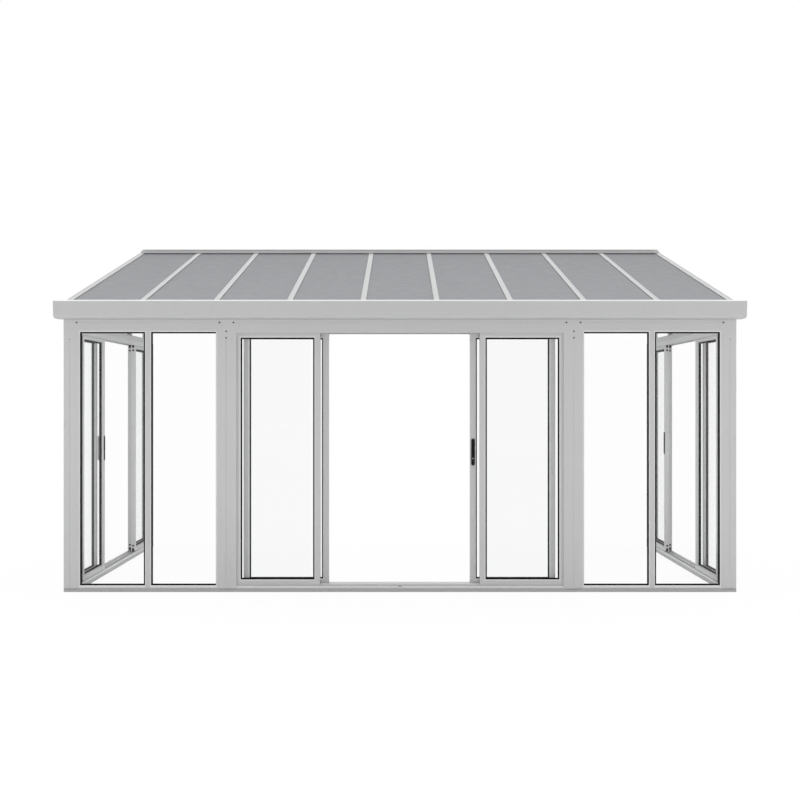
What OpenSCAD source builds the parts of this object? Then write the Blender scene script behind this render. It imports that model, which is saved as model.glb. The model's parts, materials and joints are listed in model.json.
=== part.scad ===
// Lean-to conservatory: aluminium frames, three sets of sliding doors, a glazed
// mono-pitch roof with a front gutter. Its open back fixes to a house wall.
// Millimetres. X runs along the front, Y from the gutter to the house, Z up.
// The origin is on the ground, in the middle of the plan.

/* [Plan] */
// Width of each set of sliding doors, over its jambs
door_w = 2772; // [2200:1:3400]
// Width of each fixed window section beside the front doors
window_w = 1245; // [900:1:1600]
// Side of the square corner posts
post_w = 50; // [50:1:80]

/* [Walls] */
// Height of the wall frames above the ground
wall_h = 2148; // [1700:1:2600]
// Height of the base rail
base_rail_h = 32; // [20:1:60]
// Width of the small groove along each exposed joint
joint_groove = 2; // [1:0.5:4]
// Plain length at the top of the uprights, where their grooves stop
seam_stop = 140; // [80:1:200]
// Plain length beside each upright joint, above and below the frames
joint_stop = 56; // [40:1:80]

/* [Fixed windows] */
// Width of the outer stiles of a window frame
window_stile = 80; // [50:1:110]
// Height of the top member of a window frame
window_head = 75; // [40:1:110]
// Height of the bottom member of a window frame
window_foot = 20.5; // [18:0.5:110]
// Width of the bar between the two panes
mullion_w = 48; // [36:1:80]
// Depth of the moulding in front of the window glass
window_lip = 6; // [5:1:18]
// Height of the splayed ledge below the window glass
window_ledge = 17; // [8:0.5:17]

/* [Door frames] */
// Depth of the door frames, from outside to inside
frame_depth = 103; // [103:1:150]
// Width of a door jamb
jamb_w = 83; // [60:1:110]
// Height of the door head
head_h = 84; // [60:1:120]
// How far the inner part of the head lies below its top
head_step = 36; // [20:1:50]
// How far the head's back lip reaches below its front lip
head_drop = 4; // [0:1:8]
// Depth of the track channel in the head
head_channel = 28; // [24:1:40]
// Height of the sill's front above the base rail
sill_h = 18; // [14:1:60]
// Height of the sill's back above the base rail
sill_back_h = 19; // [14:1:60]
// Thickness of the sill floor under the tracks
sill_floor = 12; // [6:1:16]
// Thickness of the lips in front of the tracks
track_lip = 10; // [4:0.5:10]
// Thickness of the lips behind the tracks
back_lip = 3; // [2:0.5:6]
// Thickness of a track rib
rib_t = 4; // [3:0.5:6]
// Height of a fixed leaf's rib above the sill floor
fixed_rib_h = 21; // [14:1:22]
// Height of a sliding leaf's rib above the sill floor
rib_h = 12; // [10:1:20]

/* [Door leaves] */
// Thickness of a door leaf
leaf_t = 40; // [36:1:44]
// Width of the stiles and rails of a leaf
leaf_rail = 47; // [44:1:70]
// How far a fixed leaf stands in from the frame's outer face
fixed_set = 16; // [15:1:20]
// Space between the fixed and the sliding leaf
leaf_gap = 6; // [5:0.5:12]
// Lap of the stiles that meet when the doors are shut
meeting_lap = 51; // [45:1:60]
// Space left between the two lock stiles when the doors are shut
shut_gap = 6; // [5:0.5:10]
// How far the open left-hand leaf stands in from its jamb
left_setback = 48; // [48:1:120]
// How far the open right-hand leaf stands in from its jamb
right_setback = 57; // [48:1:120]
// How deep a fixed leaf sits in its jamb
jamb_seat = 17; // [10:1:30]
// Space under a leaf, over the sill floor
foot_gap = 5.5; // [5:0.5:8]
// Space over a leaf, under the head
top_gap = 16; // [6:0.5:18]
// Width of the grooves that straddle the track ribs
groove_w = 14; // [13:0.5:16]
// Radius of a roller
roller_r = 9; // [6:0.5:9]
// Width of a roller
roller_w = 8; // [5:0.5:10]
// Distance from a leaf's edge to its roller
roller_inset = 110; // [70:1:160]
// Running gap between a roller and its rib
roller_gap = 0.3; // [0.2:0.05:0.5]

/* [Glazing] */
// Thickness of the glass units
pane_t = 13; // [12:1:22]
// Thickness of the black seals on each side of the glass
seal_t = 3; // [3:0.5:5]
// Depth of the moulding in front of a leaf's glass
leaf_lip = 5; // [4:0.5:8]
// Width of the seal that shows on the outer face of the glass
seal_show = 8.5; // [4:0.5:12]
// Width of the seal that shows on its inner face
inner_seal_show = 4; // [2:0.5:10]
// Width of a window's outer seal that shows beside a door jamb
jamb_seal_show = 0.5; // [0:0.5:10]
// How far the glass goes into its frame
pane_edge = 8; // [8:0.5:12]
// Width of the splayed edge around each pane
splay = 8; // [4:0.5:10]

/* [Handles] */
// Height of the middle of the handles
handle_z = 1112; // [900:1:1200]
// Length of the outer handle plate
handle_l = 215; // [160:1:260]
// Width of the outer handle plate
handle_w = 28; // [22:1:32]
// Depth of the outer handle plate
handle_t = 14; // [8:1:18]
// Depth of the inner handle plate
inner_handle_t = 6; // [5:1:14]

/* [Roof] */
// Slope of the roof in degrees
roof_pitch = 15.4; // [8:0.1:25]
// Number of roof panels
bays = 9; // [5:1:12]
// Width of the rafters and their caps
rafter_w = 45; // [36:1:50]
// Depth of the rafters below the panels
rafter_h = 55; // [40:1:90]
// Thickness of the roof panels
panel_t = 25; // [16:1:32]
// Thickness of the spine that a rafter raises between two panels
spine_w = 10; // [6:1:14]
// Play between a panel and the spine
panel_play = 5; // [2:0.5:8]
// Thickness of the gaskets under the caps
gasket_t = 3; // [2:0.5:4]
// Thickness of the rafter caps
cap_t = 5; // [4:0.5:8]
// Width of the caps over the end rafters
verge_w = 54; // [50:1:70]
// How far these end caps stand out past the side walls
verge_out = 21; // [12:1:25]
// How far their outer edges turn down
verge_drop = 22; // [12:1:25]
// How far the panels hang over the gutter
eaves_lap = 60; // [30:1:80]
// Depth of the eaves beam, from outside to inside
beam_depth = 80; // [50:1:110]
// Height of the eaves beam at its outer face
beam_h = 63.5; // [50:0.5:90]

/* [Gutter] */
// How far the gutter stands out from the wall
gutter_out = 126; // [100:1:150]
// How far the gutter runs past the side walls
gutter_side = 49; // [20:1:80]
// Height of the gutter above the wall frames, to its underside
gutter_foot = 24; // [12:1:30]
// Height of the gutter's front
gutter_h = 146; // [120:1:180]
// How far the gutter's front leans out from foot to lip
gutter_rake = 12; // [0:1:30]
// Radius of the gutter's front corner
gutter_r = 34; // [15:1:40]
// Wall thickness of the gutter
gutter_t = 4; // [2:0.5:5]
// Height of the bevel along the gutter's front edge
nose_h = 9; // [4:1:9]
// Depth of that bevel
nose_d = 5; // [3:1:8]
// Width of the lip that turns in at the top of the gutter
gutter_lip = 14; // [8:1:20]
// Depth of that lip
gutter_lip_t = 9; // [6:1:12]
// Space between the gutter's back and the panels over it
gutter_back_gap = 8; // [4:0.5:12]
// Length of the caps that close the gutter's ends
end_cap_l = 18; // [12:1:30]
// Radius of the lower corner of an end cap, seen from the front
end_cap_r = 15; // [5:1:16]

/* [House side] */
// How far the wall plate's hood reaches down over the roof
hood_l = 114; // [80:1:150]
// Width of the flat top of the wall plate
plate_top = 48; // [30:1:70]
// Height of the hood's front lip
hood_lip = 24; // [15:1:35]
// Slope of the hood in degrees
hood_pitch = 9.5; // [5:0.5:20]
// Step from the hood up to the plate's flat top
plate_step = 11; // [11:1:20]
// Height of the flashing groove in that step
plate_groove_h = 9; // [4:1:9]
// Depth of the flashing groove
plate_groove_d = 7; // [4:1:12]
// Length of the plain block at each end of the flashing groove
plate_block = 60; // [30:1:100]
// Thickness of the plate's back
plate_t = 6; // [4:0.5:8]
// Thickness of the hood
hood_t = 4; // [3:0.5:6]
// Depth of the shelf that carries the rafters
shelf_d = 46; // [30:1:60]
// Radius of the holes for the wall fixings
fixing_r = 4.5; // [3:0.5:7]

/* [Gables] */
// Height of the bottom rail of a gable frame
gable_foot = 12; // [12:1:70]
// Depth of the sloping rail under the end rafter
gable_head = 30; // [24:1:50]
// Width of the upright bars between the gable panes
gable_bar = 44; // [36:1:60]
// Width of the end uprights
gable_end = 50; // [40:1:70]

/* [Hidden] */
$fn = 64;
SIDES = [-1, 1];
EPS = 1;                    // how far a cut runs past the face it starts from

// Plan
half_door = door_w / 2;
half_w = half_door + window_w + post_w;
wall_depth = post_w + door_w;
total_depth = wall_depth + gutter_out;
front_y = gutter_out - total_depth / 2;
rear_y = front_y + wall_depth;
side_centre_y = front_y + post_w + half_door;
window_depth = post_w;      // the windows are as deep as the posts they meet

// Door openings and leaves
half_open = half_door - jamb_w;
leaf_w = (half_open + jamb_seat + meeting_lap - shut_gap / 2) / 2;
floor_z = base_rail_h + sill_floor;
ceiling_z = wall_h - head_h + head_channel;
leaf_z = floor_z + foot_gap;
leaf_h = ceiling_z - top_gap - leaf_z;
fixed_y = fixed_set;
sliding_y = fixed_y + leaf_t + leaf_gap;
fixed_x = half_open + jamb_seat - leaf_w;       // inner edge of a fixed leaf
rib_top = rib_h - foot_gap;                     // above the bottom of a leaf
fixed_rib_top = fixed_rib_h - foot_gap;
groove_clear = 6;                               // over a rib, in a groove
top_groove = head_channel - top_gap + 4;
head_rib = head_channel - 2;
roller_pocket = rib_top + roller_gap + 2 * roller_r + 1.5;
axle_r = 2.5;

// Lips of the head and sill, and the rebates of a sliding leaf behind them
step_top = wall_h - head_step;
head_lip_z = wall_h - head_h;
head_back_z = head_lip_z - head_drop;
sill_back_z = base_rail_h + sill_back_h;
run_clear = 5;              // between a sliding leaf and the back lips
rebate = max(0, sliding_y + leaf_t - (frame_depth - back_lip - run_clear));

// Glazing, in a leaf and in a window
glazing_t = pane_t + 2 * seal_t;
pocket_edge = pane_edge + 2;
seal_edge = pane_edge - 4;
leaf_back = leaf_lip + glazing_t;
window_back = window_lip + glazing_t;
window_splay_depth = window_lip - 2;

// Handles
plate_chamfer = 2;
recess_l = handle_l * 0.46;
recess_w = handle_w * 0.55;
cylinder_r = 6;

// Roof, in its own sloping frame: y runs up the slope, z stands square to it
seat_z = wall_h + beam_h;       // where the rafters' underside meets the face
film_t = 0.05;                  // of sealant, under everything on the slope
panel_z = rafter_h;
gasket_z = panel_z + panel_t;
cap_z = gasket_z + gasket_t;
cap_top = cap_z + cap_t;
half_span = half_w - spine_w / 2;   // to the middle of an end rafter's spine
bay_w = 2 * half_span / bays;
panel_w = bay_w - spine_w - 2 * panel_play;
flange_t = 6;                   // the ledge that a panel lies on
web_w = rafter_w - 14;          // a rafter narrows below its ledges
gasket_w = 6;
verge_in = verge_w - verge_out - spine_w / 2;   // an end cap, in from the spine
verge_edge = verge_out + spine_w / 2;           // and out from it
closer_t = gasket_t - 0.5;      // just clear of the caps
panel_top_gap = 26;             // from the panels' upper ends to the house wall

// Gutter and wall plate
gutter_z = wall_h + gutter_foot;
gutter_top = gutter_z + gutter_h;
half_gutter = half_w + gutter_side;
gutter_slope = gutter_rake / (gutter_h - gutter_r);     // lean of the raked face
gutter_corner = [gutter_rake + gutter_r - gutter_out, gutter_z + gutter_r];
gutter_back_z = over_rafter(0, panel_z) - gutter_back_gap;
hood_clear = 1.5;               // between the caps and the hood over them
hood_y = wall_depth - hood_l;
hood_foot = over_rafter(hood_y, cap_top) + hood_clear;
step_y = wall_depth - plate_top;
hood_z = hood_foot + hood_lip + (step_y - hood_y) * tan(hood_pitch);
plate_foot = 46;                // how far the back reaches below the rafters

// Heights along the slope, at a distance d behind the wall's outer face
function under_rafter(d) = seat_z + d * tan(roof_pitch);
function over_rafter(d, z) = under_rafter(d) + z / cos(roof_pitch);

// Inner edge of an open leaf, in the left (-1) or right (1) half of its set
function sliding_x(side) =
    half_open - (side > 0 ? right_setback : left_setback) - leaf_w;

// ---- Helpers ----

// A block between two corners
module block(low, high) {
    translate(low) cube(high - low);
}

// A section drawn in Y and Z, run along X from x0 to x1
module run_x(x0, x1) {
    translate([x0, 0, 0]) rotate([90, 0, 90]) linear_extrude(x1 - x0) children();
}

// A section drawn in X and Z, run along Y from y0 to y1
module run_y(y0, y1) {
    translate([0, y1, 0]) rotate([90, 0, 0]) linear_extrude(y1 - y0) children();
}

// Places a wall's pieces: local x along the wall to the right as seen from
// outside, local y inwards from the outer face
module on_front() {
    translate([0, front_y, 0]) children();
}
module on_left() {
    translate([-half_w, side_centre_y, 0]) rotate([0, 0, -90]) children();
}
module on_right() {
    translate([half_w, side_centre_y, 0]) rotate([0, 0, 90]) children();
}
module on_each_wall() {
    on_front() children();
    on_left() children();
    on_right() children();
}

// Places the roof's pieces in the sloping frame
module on_slope() {
    translate([0, front_y, seat_z + film_t]) rotate([roof_pitch, 0, 0]) children();
}

// What takes an arris off to a width of joint_groove: a bar of diamond section
module arris() {
    c = joint_groove;
    polygon([[-c, 0], [0, -c], [c, 0], [0, c]]);
}

// An upright bar whose two front arrises are taken off, up to seam_stop from
// its top, which leaves a groove beside each neighbour
module upright(x0, x1, depth, z0, z1) {
    difference() {
        block([x0, 0, z0], [x1, depth, z1]);
        for (x = [x0, x1])
            translate([x, 0, z0 - EPS]) linear_extrude(z1 - z0 - seam_stop + EPS) arris();
    }
}

// A rectangle in x and z, grown by edge on every side, y0 to y1 deep
module panel(low, high, edge, y0, y1) {
    block([low.x - edge, y0, low.y - edge], [high.x + edge, y1, high.y + edge]);
}

// The funnel-shaped cut that splays the edge of an opening. ledge is the height
// of the splay at its foot.
module splay_cut(low, high, y_wide, y_narrow, ledge = splay) {
    past = 1 + EPS / abs(y_narrow - y_wide);    // carries the cut through the face
    y_out = y_narrow - (y_narrow - y_wide) * past;
    side = splay * past;
    foot = ledge * past;
    intersection() {
        translate([0, 0, low.y - 2 * foot]) linear_extrude(high.y - low.y + 2 * (foot + side))
            polygon([[low.x - side, y_out], [high.x + side, y_out],
                     [high.x, y_narrow], [low.x, y_narrow]]);
        run_x(low.x - 2 * side, high.x + 2 * side)
            polygon([[y_out, low.y - foot], [y_out, high.y + side],
                     [y_narrow, high.y], [y_narrow, low.y]]);
    }
}

// A flat ring around an opening, from seal_edge behind the frame to where it
// shows over the glass. left and right are what shows at its sides.
module seal_ring(low, high, y0, y1, show, left, right) {
    difference() {
        panel(low, high, seal_edge, y0, y1);
        block([low.x + left, y0 - EPS, low.y + show],
              [high.x - right, y1 + EPS, high.y - show]);
    }
}

// The two seals that hold a pane whose outer face is at y
module seal_pair(low, high, y, left = seal_show, right = seal_show) {
    seal_ring(low, high, y - seal_t, y, seal_show, left, right);
    seal_ring(low, high, y + pane_t, y + pane_t + seal_t,
              inner_seal_show, min(left, inner_seal_show), min(right, inner_seal_show));
}

// ---- Base and posts ----

// The section of the base rail, with a groove near the top and foot of its face
module base_section() {
    deep = 2;
    high = 4;
    groove_feet = [base_rail_h - 12, 4];
    difference() {
        square([frame_depth, base_rail_h]);
        for (z = groove_feet) translate([-EPS, z]) square([deep + EPS, high]);
    }
}

// At each upright joint the rail's upper groove is cut deeper, on both sides of
// a short bridge
module foot_slots() {
    bridge = 3;
    deep = 6;
    for (side = SIDES, x = [half_door, half_w - post_w], s = SIDES)
        let (near = side * x + s * bridge, far = side * x + s * joint_stop)
        block([min(near, far), -EPS, base_rail_h - 13], [max(near, far), deep, base_rail_h - 6]);
}

module base_rail_front() {
    joint = 0.6;                // the lengths butt under the door jambs
    cuts = [-half_w, -half_door, half_door, half_w];
    color("darkgray") on_front() difference() {
        for (i = [0:2])
            run_x(cuts[i] + joint / 2, cuts[i + 1] - joint / 2) base_section();
        foot_slots();
    }
}

module base_rail_sides() {
    color("darkgray") intersection() {
        for (side = SIDES)
            if (side < 0) on_left() run_x(-half_door, half_door + post_w) base_section();
            else on_right() run_x(-half_door - post_w, half_door) base_section();
        block([-half_w, front_y + frame_depth, 0], [half_w, rear_y, base_rail_h]);
    }
}

module corner_posts() {
    color("silver") on_front()
        for (side = SIDES)
            translate([side * (half_w - post_w / 2), 0, 0])
                upright(-post_w / 2, post_w / 2, post_w, base_rail_h, wall_h);
}

// ---- Fixed windows ----

window_mid = half_door + window_w / 2;
light_w = (window_w - 2 * window_stile - mullion_w) / 2;

// Lower and upper corners of the two openings of a window, in x and z
function window_lights(mid) = [
    for (s = SIDES)
        let (c = mid + s * (mullion_w + light_w) / 2)
        [[c - light_w / 2, base_rail_h + window_foot],
         [c + light_w / 2, wall_h - window_head]]
];

module window_frame(mid) {
    difference() {
        upright(mid - window_w / 2, mid + window_w / 2, window_depth, base_rail_h, wall_h);
        for (light = window_lights(mid)) {
            panel(light[0], light[1], 0, -EPS, window_depth + EPS);
            panel(light[0], light[1], pocket_edge, window_lip, window_back);
            splay_cut(light[0], light[1], 0, window_splay_depth, window_ledge);
            splay_cut(light[0], light[1], window_depth, window_back);
        }
    }
}

module window_frames() {
    color("silver") on_front()
        for (side = SIDES) window_frame(side * window_mid);
}

module window_panes() {
    color("azure", 0.4) on_front()
        for (side = SIDES, light = window_lights(side * window_mid))
            panel(light[0], light[1], pane_edge,
                  window_lip + seal_t, window_lip + seal_t + pane_t);
}

// Beside a door jamb the outer seal hardly shows
module window_seals() {
    color("black") on_front()
        for (side = SIDES, i = [0, 1]) {
            light = window_lights(side * window_mid)[i];
            seal_pair(light[0], light[1], window_lip + seal_t,
                      left = side > 0 && i == 0 ? jamb_seal_show : seal_show,
                      right = side < 0 && i == 1 ? jamb_seal_show : seal_show);
        }
}

// ---- Door frames ----

// Middle of each track, in y
track_ys = [fixed_y + leaf_t / 2, sliding_y + leaf_t / 2];

// The head: a wide channel below, a step inside above, where only the outer
// part carries the beam or gable, and a rib down into each leaf
module head_section() {
    back = frame_depth - back_lip;
    polygon([[0, head_lip_z], [track_lip, head_lip_z], [track_lip, ceiling_z],
             [back, ceiling_z], [back, head_back_z], [frame_depth, head_back_z],
             [frame_depth, step_top], [beam_depth, step_top], [beam_depth, wall_h],
             [0, wall_h]]);
    for (y = track_ys)
        translate([y - rib_t / 2, ceiling_z - head_rib]) square([rib_t, head_rib + EPS]);
}

// A round-topped track rib on the sill floor, h high, its middle at y
module sill_rib(y, h) {
    translate([y - rib_t / 2, floor_z - EPS]) square([rib_t, h - rib_t / 2 + EPS]);
    translate([y, floor_z + h - rib_t / 2]) circle(d = rib_t);
}

// The sill: a floor between two lips, and a rib for each leaf
module sill_section() {
    lip_top = base_rail_h + sill_h;
    back = frame_depth - back_lip;
    fall = 4;                   // the outer lip's edge falls outwards
    polygon([[0, base_rail_h], [frame_depth, base_rail_h], [frame_depth, sill_back_z],
             [back, sill_back_z], [back, floor_z], [track_lip, floor_z],
             [track_lip, lip_top], [fall, lip_top], [0, lip_top - fall]]);
    sill_rib(track_ys[0], fixed_rib_h);
    sill_rib(track_ys[1], rib_h);
}

// A jamb, with the head's step and the pocket that a fixed leaf's edge sits in
module jamb(side) {
    seat = half_open + jamb_seat;
    low = min(side * half_open, side * half_door);
    high = max(side * half_open, side * half_door);
    difference() {
        upright(low, high, frame_depth, base_rail_h, wall_h);
        block([min(side * seat, side * (half_open - EPS)), fixed_y, floor_z],
              [max(side * seat, side * (half_open - EPS)), fixed_y + leaf_t, ceiling_z]);
        block([low - EPS, beam_depth, step_top], [high + EPS, frame_depth + EPS, wall_h + EPS]);
    }
}

module door_heads() {
    color("silver") on_each_wall() run_x(-half_open, half_open) head_section();
}

module door_sills() {
    color("silver") on_each_wall() run_x(-half_open, half_open) sill_section();
}

module door_jambs() {
    color("silver") on_each_wall()
        for (side = SIDES) jamb(side);
}

// ---- Door leaves ----

// A leaf's own frame: x and z from its lower left corner, y from its outer face
leaf_low = [leaf_rail, leaf_rail];
leaf_high = [leaf_w - leaf_rail, leaf_h - leaf_rail];

// The stiles and rails of a leaf. foot_groove is the depth of the groove below.
module leaf_frame(foot_groove) {
    mid = leaf_t / 2;
    difference() {
        block([0, 0, 0], [leaf_w, leaf_t, leaf_h]);
        panel(leaf_low, leaf_high, 0, -EPS, leaf_t + EPS);
        panel(leaf_low, leaf_high, pocket_edge, leaf_lip, leaf_back);
        splay_cut(leaf_low, leaf_high, 0, leaf_lip);
        splay_cut(leaf_low, leaf_high, leaf_t, leaf_back);
        block([-EPS, mid - groove_w / 2, -EPS],
              [leaf_w + EPS, mid + groove_w / 2, foot_groove]);
        block([-EPS, mid - groove_w / 2, leaf_h - top_groove],
              [leaf_w + EPS, mid + groove_w / 2, leaf_h + EPS]);
    }
}

// A roller on its axle, across the groove
module roller() {
    axle_z = rib_top + roller_gap + roller_r;
    translate([0, leaf_t / 2, axle_z]) rotate([90, 0, 0]) {
        cylinder(r = roller_r, h = roller_w, center = true);
        cylinder(r = axle_r, h = groove_w + 2, center = true);
    }
}

// A sliding leaf runs on two rollers, each in a pocket over the foot groove. It
// is rebated at its foot and top, behind the back lips of the sill and head.
module sliding_frame() {
    mid = leaf_t / 2;
    pocket_l = 2 * roller_r + 8;
    roller_xs = [roller_inset, leaf_w - roller_inset];
    difference() {
        leaf_frame(rib_top + groove_clear);
        for (x = roller_xs)
            block([x - pocket_l / 2, mid - groove_w / 2, 0],
                  [x + pocket_l / 2, mid + groove_w / 2, roller_pocket]);
        block([-EPS, leaf_t - rebate, -EPS],
              [leaf_w + EPS, leaf_t + EPS, sill_back_z + run_clear - leaf_z]);
        block([-EPS, leaf_t - rebate, head_back_z - run_clear - leaf_z],
              [leaf_w + EPS, leaf_t + EPS, leaf_h + EPS]);
    }
    for (x = roller_xs) translate([x, 0, 0]) roller();
}

module leaf_pane() {
    panel(leaf_low, leaf_high, pane_edge, leaf_lip + seal_t, leaf_lip + seal_t + pane_t);
}

module leaf_seals() {
    seal_pair(leaf_low, leaf_high, leaf_lip + seal_t);
}

// Places a leaf in the left (-1) or right (1) half of its set
module at_leaf(side, inner_x, y) {
    translate([side > 0 ? inner_x : -inner_x - leaf_w, y, leaf_z]) children();
}
module at_fixed() {
    for (side = SIDES) at_leaf(side, fixed_x, fixed_y) children();
}
module at_sliding(side) {
    at_leaf(side, sliding_x(side), sliding_y) children();
}

// A fixed leaf stands on its rib, so its foot groove is only that deep
module fixed_leaf_frames() {
    color("silver") on_each_wall() at_fixed() leaf_frame(fixed_rib_top);
}

module fixed_leaf_panes() {
    color("azure", 0.4) on_each_wall() at_fixed() leaf_pane();
}

module fixed_leaf_seals() {
    color("black") on_each_wall() at_fixed() leaf_seals();
}

module door_leaf(side) {
    color("silver") at_sliding(side) sliding_frame();
}

module door_pane(side) {
    color("azure", 0.4) at_sliding(side) leaf_pane();
}

module door_seals(side) {
    color("black") at_sliding(side) leaf_seals();
}

// ---- Handles ----

// A round-ended plate in x and z
module pill(w, l, y0, y1) {
    run_y(y0, y1) {
        square([w, l - w], center = true);
        for (s = SIDES) translate([0, s * (l - w) / 2]) circle(d = w);
    }
}

// A plate t deep with a finger recess and a round key or thumb cylinder, its
// back on the plane y = 0 and its face towards -y
module handle_plate(t) {
    recess_z = handle_l * 0.14;
    cylinder_z = -handle_l * 0.235;
    proud = 2;
    difference() {
        union() {
            pill(handle_w, handle_l, plate_chamfer - t, 0);
            pill(handle_w - 2 * plate_chamfer, handle_l - 2 * plate_chamfer, -t, 0);
        }
        translate([0, 0, recess_z]) pill(recess_w, recess_l, -t - EPS, -t / 2);
    }
    translate([0, EPS - t, cylinder_z]) rotate([90, 0, 0])
        cylinder(r = cylinder_r, h = EPS + proud);
}

// A plate on each face of the lock stile of the right-hand leaf
module handle() {
    stile_mid = sliding_x(1) + leaf_rail / 2;
    color([0.1, 0.1, 0.1]) {
        translate([stile_mid, sliding_y, handle_z]) handle_plate(handle_t);
        translate([stile_mid, sliding_y + leaf_t, handle_z]) rotate([0, 0, 180])
            handle_plate(inner_handle_t);
    }
}

// ---- Eaves and gutter ----

// The beam over the front wall: its top slopes with the rafters. Its lower
// arris is taken off over the doors and windows, and is plain at the joints.
module eaves_beam() {
    spans = [[-half_door + joint_stop, half_door - joint_stop],
             [half_door + joint_stop, half_w - post_w - joint_stop],
             [joint_stop + post_w - half_w, -half_door - joint_stop]];
    color("silver") on_front() difference() {
        run_x(-half_w, half_w)
            polygon([[0, wall_h], [beam_depth, wall_h],
                     [beam_depth, under_rafter(beam_depth)], [0, under_rafter(0)]]);
        for (span = spans)
            run_x(span[0], span[1]) translate([0, wall_h]) arris();
    }
}

// Distance of the gutter's raked face from the wall, at height z
function gutter_face(z) = gutter_corner.x - gutter_r - gutter_slope * (z - gutter_corner.y);

// The gutter's outline at a distance inside its outer skin, from the back's
// foot forward round the corner and up the raked face to height top. back is
// how far it starts from the wall.
function gutter_outline(inset, top, back = 0) = concat(
    [[-back, gutter_z + inset]],
    [for (a = [270:-9:180]) gutter_corner + (gutter_r - inset) * [cos(a), sin(a)]],
    [[gutter_face(top) + inset, top]]);

// The outer skin, with the bevel along its front edge
gutter_skin = concat(gutter_outline(0, gutter_top - nose_h), [[nose_d - gutter_out, gutter_top]]);

module gutter_section() {
    difference() {
        polygon(concat(gutter_skin, [[0, gutter_top]]));
        difference() {
            polygon(concat(gutter_outline(gutter_t, gutter_top + EPS),
                           [[EPS, gutter_top + EPS]]));
            translate([-gutter_t, gutter_z]) square([gutter_t, gutter_back_z - gutter_z]);
            translate([-gutter_out, gutter_top - gutter_lip_t])
                square([gutter_lip, gutter_lip_t]);
        }
    }
}

// The gutter's length between its end caps, from y0 to y1 in front of the wall
module gutter_run(y0, y1) {
    color("silver") on_front()
        run_x(-half_gutter + end_cap_l, half_gutter - end_cap_l) intersection() {
            gutter_section();
            translate([y0, gutter_z]) square([y1 - y0, gutter_h]);
        }
}

// The front: its round corner, raked face and lip
module gutter() {
    gutter_run(-gutter_out, gutter_corner.x);
}

module gutter_floor() {
    gutter_run(gutter_corner.x, -gutter_t);
}

module gutter_back() {
    gutter_run(-gutter_t, 0);
}

// What the rounding takes off an end cap's lower outer corner
module end_cap_corner(inset) {
    r = end_cap_r - inset;
    foot = gutter_z + inset;
    end = half_gutter - inset;
    run_y(-gutter_out - EPS, EPS)
        polygon(concat(
            [for (a = [270:15:360]) [end - r, foot + r] + r * [cos(a), sin(a)]],
            [[end + EPS, foot + r], [end + EPS, foot - EPS], [end - r, foot - EPS]]));
}

// A cap over the right-hand end: a rounded shell, open towards the gutter
module end_cap() {
    inner_x = half_gutter - end_cap_l;
    difference() {
        run_x(inner_x, half_gutter)
            polygon(concat(gutter_skin, [[-gutter_out + 2 * gutter_lip, gutter_top],
                                         [0, gutter_back_z]]));
        end_cap_corner(0);
        difference() {
            run_x(inner_x - EPS, half_gutter - gutter_t)
                polygon(concat(gutter_outline(gutter_t, gutter_top + EPS, gutter_t),
                               [[-gutter_t, gutter_top + EPS]]));
            end_cap_corner(gutter_t);
        }
    }
}

module gutter_end_caps() {
    color("silver") on_front() {
        end_cap();
        mirror([1, 0, 0]) end_cap();
    }
}

// ---- Roof ----

rafter_xs = [for (i = [1:bays - 1]) -half_span + i * bay_w];    // between the ends
bay_xs = [for (i = [0:bays - 1]) -half_span + (i + 0.5) * bay_w];
slope_l = wall_depth / cos(roof_pitch);         // eaves to house, up the slope
eaves_l = eaves_lap / cos(roof_pitch);
hood_start = (wall_depth - hood_l) / cos(roof_pitch);

// A rafter: web, ledges for the panels and a spine up to the cap
module rafter_section() {
    polygon([[-web_w / 2, 0], [web_w / 2, 0],
             [web_w / 2, rafter_h - flange_t - 7], [rafter_w / 2, rafter_h - flange_t],
             [rafter_w / 2, rafter_h], [spine_w / 2, rafter_h], [spine_w / 2, cap_z],
             [-spine_w / 2, cap_z], [-spine_w / 2, rafter_h], [-rafter_w / 2, rafter_h],
             [-rafter_w / 2, rafter_h - flange_t], [-web_w / 2, rafter_h - flange_t - 7]]);
}

// The rafter at the right-hand end is plain outside, flush with the side wall
module end_rafter_section() {
    polygon([[-web_w / 2, 0], [spine_w / 2, 0], [spine_w / 2, cap_z], [-spine_w / 2, cap_z],
             [-spine_w / 2, rafter_h], [-rafter_w / 2, rafter_h],
             [-rafter_w / 2, rafter_h - flange_t], [-web_w / 2, rafter_h - flange_t - 7]]);
}

// Places a section drawn for the right-hand end at both ends of the roof
module at_ends() {
    translate([half_span, 0, 0]) children();
    mirror([1, 0, 0]) translate([half_span, 0, 0]) children();
}

// Rafters are cut plumb at the eaves and at the wall plate
module rafters() {
    plumb = 0.5;
    color("gainsboro") intersection() {
        on_slope() {
            for (x = rafter_xs) translate([x, 0, 0])
                run_y(-eaves_l, slope_l + rafter_h) rafter_section();
            at_ends() run_y(-eaves_l, slope_l + rafter_h) end_rafter_section();
        }
        block([-half_w, front_y + plumb, wall_h],
              [half_w, rear_y - plate_t - plumb, under_rafter(wall_depth) + 2 * cap_top]);
    }
}

module roof_panels() {
    color("lightsteelblue", 0.8) on_slope()
        for (x = bay_xs)
            block([x - panel_w / 2, -eaves_l + closer_t, panel_z],
                  [x + panel_w / 2, slope_l - panel_top_gap, panel_z + panel_t]);
}

// A folded strip closes the lower end of each panel
module panel_closers() {
    y0 = -eaves_l;
    leg = 18;
    color("silver") on_slope()
        for (x = bay_xs) run_x(x - panel_w / 2, x + panel_w / 2)
            polygon([[y0 + leg, panel_z - closer_t], [y0 + leg, panel_z], [y0 + closer_t, panel_z],
                     [y0 + closer_t, gasket_z], [y0 + leg, gasket_z],
                     [y0 + leg, gasket_z + closer_t], [y0, gasket_z + closer_t],
                     [y0, panel_z - closer_t]]);
}

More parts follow.
